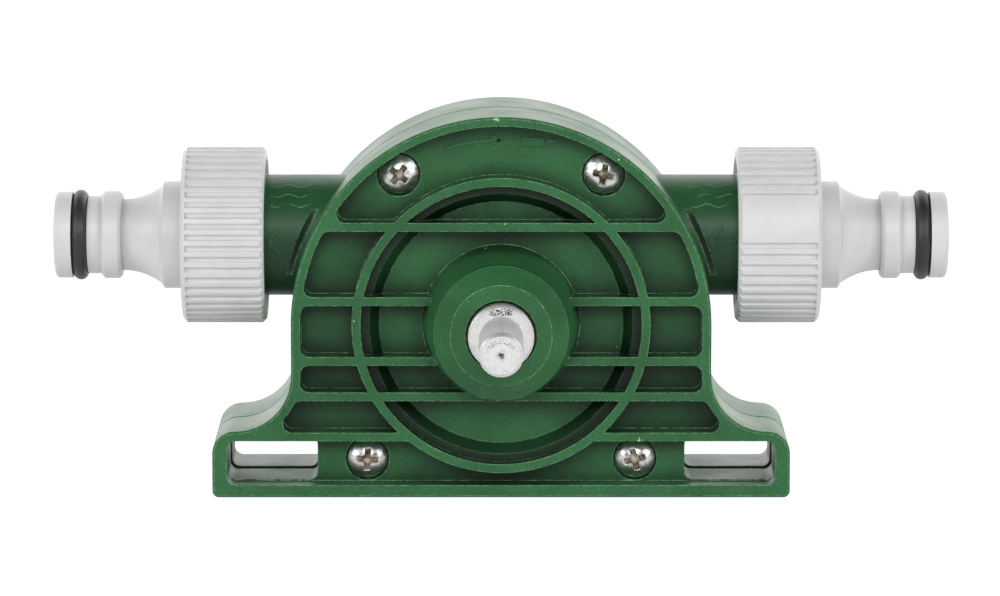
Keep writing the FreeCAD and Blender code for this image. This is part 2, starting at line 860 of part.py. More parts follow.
def nut_grooves():
    """Fine grooves between the grip ribs, left out over the smooth field."""
    grooves = []
    pitch = 360 / nut_ribs
    centre = nut_radius + nut_groove_radius - nut_groove_depth
    x0, x1 = nut_start + nut_groove_start, nut_end - nut_end_margin
    for number in range(nut_ribs):
        angle = nut_panel_tilt + pitch * (number + 0.5)
        from_panel = (pitch * (number + 0.5) + 180) % 360 - 180
        if abs(from_panel) < nut_panel_angle / 2 - nut_panel_slack:
            continue
        turn = math.radians(angle)
        y = -centre * math.cos(turn)
        z = port_height + centre * math.sin(turn)
        grooves.append(Part.makeCylinder(nut_groove_radius, x1 - x0, Vector(x0, y, z), along_x))
    return grooves


def hose_nipple():
    """Quick-coupling nipple held by the union nut of the inlet port."""
    back = port_reach + washer_thickness
    groove_start = barrel_end
    groove_end = barrel_end + groove_width

    def at(x, radius):
        return Vector(x, 0, port_height + radius)

    lines = [
        at(nipple_cone_end, nipple_cone_radius),
        at(nipple_neck_end, nipple_neck),
        at(nipple_flange_top, nipple_neck),
        at(nipple_flange_top, nipple_flange_radius),
        at(back, nipple_flange_radius),
        at(back, port_bore - funnel_step),
        at(back + nipple_funnel, nipple_bore),
        at(nose_end, nipple_bore),
        at(nose_end, nose_radius - nose_edge),
        at(nose_end - nose_bend, nose_radius - nose_bend),
        at(nose_end - nose_edge, nose_radius),
        at(groove_end, nose_radius),
        at(groove_end, groove_radius),
        at(groove_start, groove_radius),
        at(groove_start, barrel_radius),
        at(collar_end, barrel_radius),
        at(collar_end, collar_radius - collar_edge),
        at(collar_end - collar_edge, collar_radius),
        at(nipple_waist_end + collar_edge, collar_radius),
        at(nipple_waist_end, collar_radius - collar_edge),
        at(nipple_waist_end, waist_radius),
    ]
    flare = Part.Arc(lines[-1], at(nipple_flare_mid, nipple_flare_radius), lines[0])
    wire = Part.Wire(Part.makePolygon(lines).Edges + [flare.toShape()])
    return Part.Face(wire).revolve(Vector(0, 0, port_height), along_x, 360)


def nose_ring():
    """O-ring in the groove of the nipple."""
    middle = barrel_end + groove_width / 2
    centre = Vector(middle, 0, port_height)
    radius = groove_radius + nose_ring_gap + nose_ring_section
    return Part.makeTorus(radius, nose_ring_section, centre, along_x)


def flat_washer():
    x0 = port_reach
    x1 = port_reach + washer_thickness
    return port_rod(nipple_flange_radius, x0, x1).cut(port_rod(washer_bore, x0, x1))


os.makedirs("parts", exist_ok=True)

single_pieces = {
    "front_housing": front_housing,
    "rear_housing": rear_housing,
    "housing_gasket": housing_gasket,
    "housing_screws": housing_screws,
    "cam_insert": cam_insert,
    "front_wear_plate": front_wear_plate,
    "rear_wear_plate": rear_wear_plate,
    "front_bush": front_bush,
    "rear_bush": rear_bush,
    "shaft_seal": shaft_seal,
    "seal_retainer": seal_retainer,
    "shaft_clip": shaft_clip,
    "drive_shaft": drive_shaft,
    "drive_pin": drive_pin,
    "impeller_core": impeller_core,
    "impeller_vanes": impeller_vanes,
}
port_pieces = {
    "union_nut": union_nut,
    "hose_nipple": hose_nipple,
    "nose_ring": nose_ring,
    "flat_washer": flat_washer,
}

for node, make in single_pieces.items():
    make().exportStep("parts/" + node + ".step")
for node, make in port_pieces.items():
    piece = make()
    piece.exportStep("parts/inlet_" + node + ".step")
    outlet_side(piece).exportStep("parts/outlet_" + node + ".step")
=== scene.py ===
import json
import math

import bpy
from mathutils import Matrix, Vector


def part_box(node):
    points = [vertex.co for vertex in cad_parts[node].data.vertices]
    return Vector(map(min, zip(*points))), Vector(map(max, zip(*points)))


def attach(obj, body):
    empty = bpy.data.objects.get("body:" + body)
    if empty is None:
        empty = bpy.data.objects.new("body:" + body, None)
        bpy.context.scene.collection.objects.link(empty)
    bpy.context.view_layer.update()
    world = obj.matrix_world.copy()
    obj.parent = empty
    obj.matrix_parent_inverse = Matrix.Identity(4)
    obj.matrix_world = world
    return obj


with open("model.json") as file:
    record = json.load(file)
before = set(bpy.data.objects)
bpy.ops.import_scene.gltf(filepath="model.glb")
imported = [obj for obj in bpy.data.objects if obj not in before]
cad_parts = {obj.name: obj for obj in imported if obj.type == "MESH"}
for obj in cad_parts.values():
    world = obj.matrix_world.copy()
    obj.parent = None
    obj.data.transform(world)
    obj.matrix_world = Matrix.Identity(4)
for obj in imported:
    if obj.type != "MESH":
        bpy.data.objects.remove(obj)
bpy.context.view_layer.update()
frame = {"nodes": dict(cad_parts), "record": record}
nodes = frame["nodes"]
print("pump frame loaded:", len(nodes), "nodes")

# places taken from the frame, metres

mm = 0.001
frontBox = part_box("front_housing")
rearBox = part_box("rear_housing")
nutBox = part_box("inlet_union_nut")
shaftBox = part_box("drive_shaft")
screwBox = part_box("housing_screws")

shaftHeight = (shaftBox[0][2] + shaftBox[1][2]) / 2
portHeight = (nutBox[0][2] + nutBox[1][2]) / 2
baseLevel = frontBox[0][2]
ribPlane = -15.5 * mm  # front face of the ribs and the rim
archRadius = frontBox[1][2] - shaftHeight
pocketFloor = ribPlane + 4.5 * mm
tubeRadius = 11.2 * mm  # port tubes, outside


# small helpers for nodes

def addNode(tree, kind, **sockets):
    node = tree.nodes.new(kind)
    for name, value in sockets.items():
        node.inputs[name.replace("_", " ")].default_value = value
    return node


def join(tree, source, target):
    tree.links.new(source, target)


def mathNode(tree, operation, first, second=None, third=None, clamp=False):
    node = tree.nodes.new("ShaderNodeMath")
    node.operation = operation
    node.use_clamp = clamp
    for socket, value in zip(node.inputs, (first, second, third)):
        if value is None:
            continue
        if hasattr(value, "links"):
            tree.links.new(value, socket)
        else:
            socket.default_value = value
    return node.outputs[0]


def mixColour(tree, factor, first, second, blend="MIX"):
    node = tree.nodes.new("ShaderNodeMix")
    node.data_type = "RGBA"
    node.blend_type = blend
    for socket, value in ((node.inputs[0], factor), (node.inputs[6], first), (node.inputs[7], second)):
        if hasattr(value, "links"):
            tree.links.new(value, socket)
        else:
            socket.default_value = value
    return node.outputs[2]


def remap(tree, value, fromLow, fromHigh, toLow=0.0, toHigh=1.0):
    node = tree.nodes.new("ShaderNodeMapRange")
    node.interpolation_type = "SMOOTHSTEP"
    tree.links.new(value, node.inputs["Value"])
    ends = {"From Min": fromLow, "From Max": fromHigh, "To Min": toLow, "To Max": toHigh}
    for name, number in ends.items():
        node.inputs[name].default_value = number
    return node.outputs["Result"]


def product(tree, *values):
    result = values[0]
    for value in values[1:]:
        result = mathNode(tree, "MULTIPLY", result, value)
    return result


def darken(tree, colour, value):
    return mixColour(tree, 1.0, colour, greyOf(tree, value), "MULTIPLY")


def greyOf(tree, value):
    node = tree.nodes.new("ShaderNodeCombineColor")
    for name in ("Red", "Green", "Blue"):
        tree.links.new(value, node.inputs[name])
    return node.outputs["Color"]


def shaftRadiusAndDepth(tree, coords):
    split = tree.nodes.new("ShaderNodeSeparateXYZ")
    tree.links.new(coords, split.inputs["Vector"])
    rise = mathNode(tree, "SUBTRACT", split.outputs["Z"], shaftHeight)
    square = mathNode(tree, "MULTIPLY_ADD", rise, rise, mathNode(tree, "POWER", split.outputs["X"], 2.0))
    return mathNode(tree, "SQRT", square), split.outputs["Y"]


def startMaterial(name):
    material = bpy.data.materials.new(name)
    material.use_nodes = True
    tree = material.node_tree
    shader = tree.nodes["Principled BSDF"]
    coords = tree.nodes.new("ShaderNodeTexCoord").outputs["Object"]
    return material, tree, shader, coords


def startGroup(name, inputs, outputs):
    group = bpy.data.node_groups.new(name, "ShaderNodeTree")
    for label, kind, value in inputs:
        socket = group.interface.new_socket(label, in_out="INPUT", socket_type=kind)
        if value is not None:
            socket.default_value = value
    for label, kind in outputs:
        group.interface.new_socket(label, in_out="OUTPUT", socket_type=kind)
    entry = group.nodes.new("NodeGroupInput")
    leave = group.nodes.new("NodeGroupOutput")
    return group, entry.outputs, leave.inputs


def useGroup(tree, group, coords, **values):
    node = tree.nodes.new("ShaderNodeGroup")
    node.node_tree = group
    tree.links.new(coords, node.inputs["Coords"])
    for name, value in values.items():
        node.inputs[name].default_value = value
    return node.outputs


# effects that several finishes share

# edge mask from the Bevel node, for painting lines along edges (painted highlights on the plastics and
# screws, a dark line on the steel), and the bevel normal for rounded edges
def buildPaintedEdgeLines():
    group, given, out = startGroup(
        "paintedEdgeLines",
        [("Coords", "NodeSocketVector", None), ("Radius", "NodeSocketFloat", 0.0003),
         ("Patchy", "NodeSocketFloat", 0.5), ("PatchScale", "NodeSocketFloat", 700.0)],
        [("Mask", "NodeSocketFloat"), ("Normal", "NodeSocketVector")])
    bevel = group.nodes.new("ShaderNodeBevel")
    bevel.samples = 6
    join(group, given["Radius"], bevel.inputs["Radius"])
    surface = group.nodes.new("ShaderNodeNewGeometry")
    facing = group.nodes.new("ShaderNodeVectorMath")
    facing.operation = "DOT_PRODUCT"
    join(group, bevel.outputs["Normal"], facing.inputs[0])
    join(group, surface.outputs["Normal"], facing.inputs[1])
    turned = mathNode(group, "SUBTRACT", 1.0, facing.outputs["Value"])
    edge = remap(group, turned, 0.004, 0.06)
    noise = addNode(group, "ShaderNodeTexNoise", Detail=4.0, Roughness=0.65)
    join(group, given["Coords"], noise.inputs["Vector"])
    join(group, given["PatchScale"], noise.inputs["Scale"])
    low = mathNode(group, "SUBTRACT", given["Patchy"], 0.12)
    high = mathNode(group, "ADD", given["Patchy"], 0.12)
    patch = group.nodes.new("ShaderNodeMapRange")
    patch.interpolation_type = "SMOOTHSTEP"
    join(group, noise.outputs["Fac"], patch.inputs["Value"])
    join(group, low, patch.inputs["From Min"])
    join(group, high, patch.inputs["From Max"])
    mask = mathNode(group, "MULTIPLY", edge, patch.outputs["Result"], clamp=True)
    join(group, mask, out["Mask"])
    join(group, bevel.outputs["Normal"], out["Normal"])
    return group


def buildMouldGrain():
    group, given, out = startGroup(
        "mouldGrain",
        [("Coords", "NodeSocketVector", None), ("Scale", "NodeSocketFloat", 2500.0),
         ("Cloud", "NodeSocketFloat", 90.0)],
        [("Height", "NodeSocketFloat"), ("Cloudiness", "NodeSocketFloat")])
    fine = addNode(group, "ShaderNodeTexNoise", Detail=3.0, Roughness=0.7)
    join(group, given["Coords"], fine.inputs["Vector"])
    join(group, given["Scale"], fine.inputs["Scale"])
    wide = addNode(group, "ShaderNodeTexNoise", Detail=5.0, Roughness=0.55)
    join(group, given["Coords"], wide.inputs["Vector"])
    join(group, given["Cloud"], wide.inputs["Scale"])
    join(group, fine.outputs["Fac"], out["Height"])
    join(group, wide.outputs["Fac"], out["Cloudiness"])
    return group


def buildDustSpecks():
    group, given, out = startGroup(
        "dustSpecks",
        [("Coords", "NodeSocketVector", None), ("Scale", "NodeSocketFloat", 320.0),
         ("Share", "NodeSocketFloat", 0.06), ("Size", "NodeSocketFloat", 0.06)],
        [("Mask", "NodeSocketFloat")])
    cells = group.nodes.new("ShaderNodeTexVoronoi")
    join(group, given["Coords"], cells.inputs["Vector"])
    join(group, given["Scale"], cells.inputs["Scale"])
    split = group.nodes.new("ShaderNodeSeparateColor")
    join(group, cells.outputs["Color"], split.inputs["Color"])
    chosen = mathNode(group, "LESS_THAN", split.outputs["Red"], given["Share"])
    reach = mathNode(group, "MULTIPLY", split.outputs["Green"], given["Size"])
    inside = mathNode(group, "LESS_THAN", cells.outputs["Distance"], reach)
    join(group, mathNode(group, "MULTIPLY", chosen, inside), out["Mask"])
    return group


def buildPaleNick():
    group, given, out = startGroup(
        "paleNick",
        [("Coords", "NodeSocketVector", None), ("Place", "NodeSocketVector", None),
         ("Reach", "NodeSocketFloat", 0.0006)],
        [("Mask", "NodeSocketFloat")])
    away = group.nodes.new("ShaderNodeVectorMath")
    away.operation = "DISTANCE"
    join(group, given["Coords"], away.inputs[0])
    join(group, given["Place"], away.inputs[1])
    rag = addNode(group, "ShaderNodeTexNoise", Scale=1800.0, Detail=3.0)
    join(group, given["Coords"], rag.inputs["Vector"])
    reach = mathNode(group, "MULTIPLY", given["Reach"], remap(group, rag.outputs["Fac"], 0.42, 0.62))
    join(group, mathNode(group, "LESS_THAN", away.outputs["Value"], reach), out["Mask"])
    return group


def buildCornerShade():
    group, given, out = startGroup(
        "cornerShade",
        [("Coords", "NodeSocketVector", None), ("Reach", "NodeSocketFloat", 0.005),
         ("Darkest", "NodeSocketFloat", 0.3)],
        [("Shade", "NodeSocketFloat")])
    hollow = group.nodes.new("ShaderNodeAmbientOcclusion")
    hollow.samples = 8
    hollow.only_local = True
    join(group, given["Reach"], hollow.inputs["Distance"])
    smudge = addNode(group, "ShaderNodeTexNoise", Scale=260.0, Detail=3.0)
    join(group, given["Coords"], smudge.inputs["Vector"])
    smudged = mathNode(group, "SUBTRACT", smudge.outputs["Fac"], 0.5)
    uneven = mathNode(group, "MULTIPLY_ADD", smudged, 0.25, hollow.outputs["AO"])
    openness = remap(group, uneven, 0.32, 0.95)
    kept = mathNode(group, "SUBTRACT", 1.0, given["Darkest"])
    join(group, mathNode(group, "MULTIPLY_ADD", openness, kept, given["Darkest"]), out["Shade"])
    return group


paintedEdgeLines = buildPaintedEdgeLines()
cornerShade = buildCornerShade()
mouldGrain = buildMouldGrain()
dustSpecks = buildDustSpecks()
paleNick = buildPaleNick()


# finishes

greenPlastic = dict(
    deep=(0.0195, 0.096, 0.0310, 1), body=(0.0275, 0.130, 0.0440, 1), edgeHighlight=(0.24, 0.46, 0.26, 1),
    paintedTubeShade=(0.010, 0.032, 0.017, 1), nick=(0.30, 0.60, 0.28, 1), dust=(0.70, 0.80, 0.68, 1),
    film=(0.46, 0.44, 0.36, 1), filmShare=0.08, streakScale=(1700.0, 800.0, 1700.0),
    roughness=0.38, specular=0.3, grainScale=5200.0, cloudScale=90.0, speckle=(0.74, 1.26),
    edgeRadius=0.28 * mm, edgePatches=1500.0, cornerReach=6 * mm, cornerDark=0.3,
    dishFloor=22.5 * mm, dishWall=25.8 * mm, dishWallPaintedShade=0.3,  # painted shade: the stepped wall inside the ring is darkened nearly to black
    toolPitch=0.42 * mm, toolInner=9.5 * mm, toolOuter=12.7 * mm, toolDepth=0.22,  # lines on the hub bevel
    lipRing=9.25 * mm, lipWidth=0.07 * mm)
greenNicks = [(-0.8 * mm, ribPlane, 70.2 * mm, 0.62 * mm), (25.6 * mm, ribPlane, 10.5 * mm, 0.8 * mm),
              (-24.6 * mm, ribPlane, 10.5 * mm, 0.7 * mm), (0.8 * mm, ribPlane, 51.1 * mm, 0.4 * mm)]


def finishGreenPlastic(name, edgeHighlightShare):
    look = greenPlastic
    material, tree, shader, coords = startMaterial(name)
    shader.inputs["Specular IOR Level"].default_value = look["specular"]
    grain = useGroup(tree, mouldGrain, coords, Scale=look["grainScale"], Cloud=look["cloudScale"])
    edge = useGroup(tree, paintedEdgeLines, coords, Radius=look["edgeRadius"], Patchy=0.5,
                    PatchScale=look["edgePatches"])
    dust = useGroup(tree, dustSpecks, coords, Scale=330.0, Share=0.13, Size=0.075)
    radius, depth = shaftRadiusAndDepth(tree, coords)
    tone = remap(tree, grain["Cloudiness"], 0.3, 0.7)
    base = mixColour(tree, tone, look["deep"], look["body"])
    split = tree.nodes.new("ShaderNodeSeparateXYZ")
    join(tree, coords, split.inputs["Vector"])
    tubeTop, tubeBottom = portHeight + tubeRadius, portHeight - tubeRadius
    height = split.outputs["Z"]
    # painted shade: the port tubes turn darker towards their bottom
    onPort = product(tree, mathNode(tree, "GREATER_THAN", radius, archRadius + 0.15 * mm),
                     mathNode(tree, "GREATER_THAN", height, tubeBottom - mm))
    paintedTubeShade = product(tree, onPort, remap(tree, height, tubeTop, tubeBottom, 0.25, 0.85))
    base = mixColour(tree, paintedTubeShade, base, look["paintedTubeShade"])
    base = darken(tree, base, remap(tree, grain["Height"], 0.34, 0.66, *look["speckle"]))
    corner = useGroup(tree, cornerShade, coords, Reach=look["cornerReach"], Darkest=look["cornerDark"])
    base = darken(tree, base, corner["Shade"])
    # painted highlight: paler green in patches along the edges
    base = mixColour(tree, mathNode(tree, "MULTIPLY", edge["Mask"], edgeHighlightShare), base, look["edgeHighlight"])
    # painted shade on the stepped wall between dishFloor and dishWall, below the rib plane
    paintedWallShade = product(tree, remap(tree, radius, look["dishFloor"] - 0.2 * mm, look["dishFloor"] + 0.1 * mm),
                     mathNode(tree, "LESS_THAN", radius, look["dishWall"] + 0.1 * mm),
                     remap(tree, depth, ribPlane + 0.3 * mm, ribPlane + 1.2 * mm))
    base = darken(tree, base, mathNode(tree, "MULTIPLY_ADD", paintedWallShade, look["dishWallPaintedShade"] - 1.0, 1.0))
    # faint painted highlight line around the hub at lipRing
    onHub = mathNode(tree, "LESS_THAN", depth, ribPlane - 4 * mm)
    fromLip = mathNode(tree, "ABSOLUTE", mathNode(tree, "SUBTRACT", radius, look["lipRing"]))
    lip = mathNode(tree, "MULTIPLY", mathNode(tree, "LESS_THAN", fromLip, look["lipWidth"]), onHub)
    faint = remap(tree, grain["Cloudiness"], 0.35, 0.65, 0.0, 0.13)
    base = mixColour(tree, mathNode(tree, "MULTIPLY", lip, faint), base, look["edgeHighlight"])
    turned = product(
        tree, mathNode(tree, "SINE", mathNode(tree, "MULTIPLY", radius, 2 * math.pi / look["toolPitch"])),
        mathNode(tree, "GREATER_THAN", radius, look["toolInner"]),
        mathNode(tree, "LESS_THAN", radius, look["toolOuter"]), onHub)
    base = darken(tree, base, mathNode(tree, "MULTIPLY_ADD", turned, look["toolDepth"], 1.0))
    facing = tree.nodes.new("ShaderNodeSeparateXYZ")
    join(tree, tree.nodes.new("ShaderNodeNewGeometry").outputs["Normal"], facing.inputs["Vector"])
    streak = addNode(tree, "ShaderNodeTexNoise", Scale=1.0, Detail=4.0, Roughness=0.7)
    stretch = tree.nodes.new("ShaderNodeMapping")
    stretch.inputs["Scale"].default_value = look["streakScale"]
    join(tree, coords, stretch.inputs["Vector"])
    join(tree, stretch.outputs["Vector"], streak.inputs["Vector"])
    outside = mathNode(tree, "GREATER_THAN", radius, archRadius - 0.6 * mm)
    film = product(tree, remap(tree, facing.outputs["Z"], 0.25, 0.8),
                   remap(tree, streak.outputs["Fac"], 0.35, 0.7, 0.0, look["filmShare"]),
                   mathNode(tree, "SUBTRACT", outside, onPort, clamp=True))
    base = mixColour(tree, film, base, look["film"])
    for x, y, z, reach in greenNicks:
        nick = useGroup(tree, paleNick, coords, Place=(x, y, z), Reach=reach)
        base = mixColour(tree, nick["Mask"], base, look["nick"])
    base = mixColour(tree, dust["Mask"], base, look["dust"])
    join(tree, base, shader.inputs["Base Color"])
    rough = remap(tree, grain["Cloudiness"], 0.25, 0.75, look["roughness"] - 0.05, look["roughness"] + 0.09)
    join(tree, rough, shader.inputs["Roughness"])
    relief = mathNode(tree, "ADD", grain["Height"], mathNode(tree, "MULTIPLY", turned, 0.5))
    bump = addNode(tree, "ShaderNodeBump", Strength=0.4, Distance=0.00006)
    join(tree, relief, bump.inputs["Height"])
    join(tree, edge["Normal"], bump.inputs["Normal"])
    join(tree, bump.outputs["Normal"], shader.inputs["Normal"])
    return material


greyPlastic = dict(
    body=(0.595, 0.595, 0.595, 1), shade=(0.555, 0.555, 0.557, 1), edgeHighlight=(0.78, 0.78, 0.78, 1),
    speck=(0.33, 0.33, 0.32, 1), roughness=0.42, edgeRadius=0.22 * mm, cornerReach=2 * mm, cornerDark=0.72)


def finishGreyPlastic():
    look = greyPlastic
    material, tree, shader, coords = startMaterial("connectorGreyPlastic")
    grain = useGroup(tree, mouldGrain, coords, Scale=1800.0, Cloud=150.0)
    edge = useGroup(tree, paintedEdgeLines, coords, Radius=look["edgeRadius"], Patchy=0.42, PatchScale=600.0)
    dust = useGroup(tree, dustSpecks, coords, Scale=260.0, Share=0.03, Size=0.06)
    tone = remap(tree, grain["Cloudiness"], 0.3, 0.7)
    base = mixColour(tree, tone, look["shade"], look["body"])
    corner = useGroup(tree, cornerShade, coords, Reach=look["cornerReach"], Darkest=look["cornerDark"])
    base = darken(tree, base, corner["Shade"])
    # painted highlight: paler grey in patches along the edges
    base = mixColour(tree, mathNode(tree, "MULTIPLY", edge["Mask"], 0.5), base, look["edgeHighlight"])
    base = mixColour(tree, dust["Mask"], base, look["speck"])
    join(tree, base, shader.inputs["Base Color"])
    rough = remap(tree, grain["Cloudiness"], 0.25, 0.75, look["roughness"] - 0.05, look["roughness"] + 0.08)
    join(tree, rough, shader.inputs["Roughness"])
    bump = addNode(tree, "ShaderNodeBump", Strength=0.06, Distance=0.00008)
    join(tree, grain["Height"], bump.inputs["Height"])
    join(tree, edge["Normal"], bump.inputs["Normal"])
    join(tree, bump.outputs["Normal"], shader.inputs["Normal"])
    return material


def finishRubber(name, colour, roughness):
    material, tree, shader, coords = startMaterial(name)
    grain = useGroup(tree, mouldGrain, coords, Scale=2200.0, Cloud=300.0)
    dust = useGroup(tree, dustSpecks, coords, Scale=500.0, Share=0.06, Size=0.08)
    tone = remap(tree, grain["Cloudiness"], 0.3, 0.7, 0.7, 1.3)
    shade = tree.nodes.new("ShaderNodeCombineColor")
    for socket, part in zip(("Red", "Green", "Blue"), colour):
        join(tree, mathNode(tree, "MULTIPLY", tone, part), shade.inputs[socket])
    base = mixColour(tree, dust["Mask"], shade.outputs["Color"], (0.35, 0.35, 0.35, 1))
    join(tree, base, shader.inputs["Base Color"])
    rough = remap(tree, grain["Height"], 0.3, 0.7, roughness - 0.06, roughness + 0.1)
    join(tree, rough, shader.inputs["Roughness"])
    bump = addNode(tree, "ShaderNodeBump", Strength=0.12, Distance=0.00008)
    join(tree, grain["Height"], bump.inputs["Height"])
    join(tree, bump.outputs["Normal"], shader.inputs["Normal"])
    return material


turnedSteel = dict(
    colour=(0.82, 0.82, 0.815, 1), dark=(0.05, 0.05, 0.055, 1), roughness=0.42, shank=4.1 * mm,
    ringPitch=0.4 * mm, centre=0.42 * mm,  # turned rings, and the rough spot in the middle of the tip
    scuffHeight=(4.2 * mm, 5.2 * mm), scuffSide=2.6 * mm, tipScuff=(1.9 * mm, 3.0 * mm))


def finishTurnedSteel():
    look = turnedSteel
    material, tree, shader, coords = startMaterial("turnedShaftSteel")
    radius, depth = shaftRadiusAndDepth(tree, coords)
    wobble = addNode(tree, "ShaderNodeTexNoise", Scale=420.0, Detail=3.0, Roughness=0.6)
    join(tree, coords, wobble.inputs["Vector"])
    along = mathNode(tree, "ADD", mathNode(tree, "ADD", radius, depth),
                     mathNode(tree, "MULTIPLY", wobble.outputs["Fac"], 0.3 * mm))
    swing = mathNode(tree, "SINE", mathNode(tree, "MULTIPLY", along, 2 * math.pi / look["ringPitch"]))
    ring = remap(tree, swing, -1, 1)
    scuff = addNode(tree, "ShaderNodeTexNoise", Scale=1500.0, Detail=6.0, Roughness=0.75)
    join(tree, coords, scuff.inputs["Vector"])
    split = tree.nodes.new("ShaderNodeSeparateXYZ")
    join(tree, coords, split.inputs["Vector"])
    rise = mathNode(tree, "SUBTRACT", split.outputs["Z"], shaftHeight)
    onTip = mathNode(tree, "LESS_THAN", depth, shaftBox[0][1] + mm)
    fine = remap(tree, scuff.outputs["Fac"], 0.42, 0.62)
    onShank = product(tree, mathNode(tree, "GREATER_THAN", depth, shaftBox[0][1] + mm),
                      mathNode(tree, "LESS_THAN", radius, look["shank"]))
    swell = addNode(tree, "ShaderNodeTexNoise", Scale=2.2, Detail=2.0)
    join(tree, greyOf(tree, mathNode(tree, "MULTIPLY", radius, 1 / mm)), swell.inputs["Vector"])
    uneven = remap(tree, swell.outputs["Fac"], 0.38, 0.62, 0.05, 0.5)
    line = product(tree, remap(tree, ring, 0.5, 0.95), fine, uneven)
    squiggle = addNode(tree, "ShaderNodeTexNoise", Scale=3600.0, Detail=2.0, Roughness=0.6)
    join(tree, coords, squiggle.inputs["Vector"])
    scratch = remap(tree, squiggle.outputs["Fac"], 0.48, 0.55)
    low, high = look["scuffHeight"]
    side = mathNode(tree, "ABSOLUTE", split.outputs["X"])
    upper = product(tree, remap(tree, rise, low - 0.3 * mm, low), remap(tree, rise, high + 0.3 * mm, high),
                    remap(tree, side, look["scuffSide"], look["scuffSide"] - mm))
    low, high = look["tipScuff"]
    tipArc = product(tree, remap(tree, radius, low, low + 0.4 * mm),
                     remap(tree, radius, high, high - 0.4 * mm),
                     remap(tree, rise, 0.6 * mm, 1.6 * mm), onTip, remap(tree, ring, 0.3, 0.7))
    marked = product(tree, scratch, mathNode(tree, "MAXIMUM", upper, tipArc))
    core = product(tree, remap(tree, radius, 2.6 * look["centre"], 0.4 * look["centre"]),
                   remap(tree, scuff.outputs["Fac"], 0.47, 0.53), onTip)
    edge = useGroup(tree, paintedEdgeLines, coords, Radius=0.18 * mm, Patchy=0.44, PatchScale=900.0)
    # a dark line along the edges joins the turned rings, scratches and the rough centre spot
    markMask = mathNode(tree, "MULTIPLY", edge["Mask"], 0.45)
    for other in (line, marked, core):
        markMask = mathNode(tree, "MAXIMUM", markMask, other)
    join(tree, mixColour(tree, markMask, look["colour"], look["dark"]), shader.inputs["Base Color"])
    join(tree, mathNode(tree, "MULTIPLY_ADD", onShank, -0.65, 1.0), shader.inputs["Metallic"])
    rough = remap(tree, scuff.outputs["Fac"], 0.3, 0.7, look["roughness"], look["roughness"] + 0.16)
    join(tree, mathNode(tree, "MULTIPLY_ADD", onShank, 0.12, rough), shader.inputs["Roughness"])
    bump = addNode(tree, "ShaderNodeBump", Strength=0.12, Distance=0.00004)
    join(tree, ring, bump.inputs["Height"])
    join(tree, bump.outputs["Normal"], shader.inputs["Normal"])
    return material


def finishPlainMetal(name, colour, roughness, grainScale=1500.0):
    material, tree, shader, coords = startMaterial(name)
    grain = useGroup(tree, mouldGrain, coords, Scale=grainScale, Cloud=400.0)
    tone = remap(tree, grain["Cloudiness"], 0.3, 0.7, 0.85, 1.12)
    shade = tree.nodes.new("ShaderNodeCombineColor")
    for socket, part in zip(("Red", "Green", "Blue"), colour):
        join(tree, mathNode(tree, "MULTIPLY", tone, part), shade.inputs[socket])
    join(tree, shade.outputs["Color"], shader.inputs["Base Color"])
    shader.inputs["Metallic"].default_value = 1.0
    rough = remap(tree, grain["Height"], 0.3, 0.7, roughness - 0.05, roughness + 0.08)
    join(tree, rough, shader.inputs["Roughness"])
    bump = addNode(tree, "ShaderNodeBump", Strength=0.08, Distance=0.00004)
    join(tree, grain["Height"], bump.inputs["Height"])
    join(tree, bump.outputs["Normal"], shader.inputs["Normal"])
    return material


zincScrews = dict(
    colour=(0.80, 0.80, 0.79, 1), dullPatches=(0.30, 0.28, 0.25, 1), lip=(0.95, 0.95, 0.93, 1), roughness=0.2,
    recess=(0.80, 0.72, 0.58, 1), recessDark=(0.20, 0.16, 0.10, 1),
    domeRadius=5.078 * mm, headReach=2.5 * mm,  # what lies deeper than the dome is the cross recess
    upper=(18.8 * mm, 59.5 * mm), lower=(24.7 * mm, 6.5 * mm))


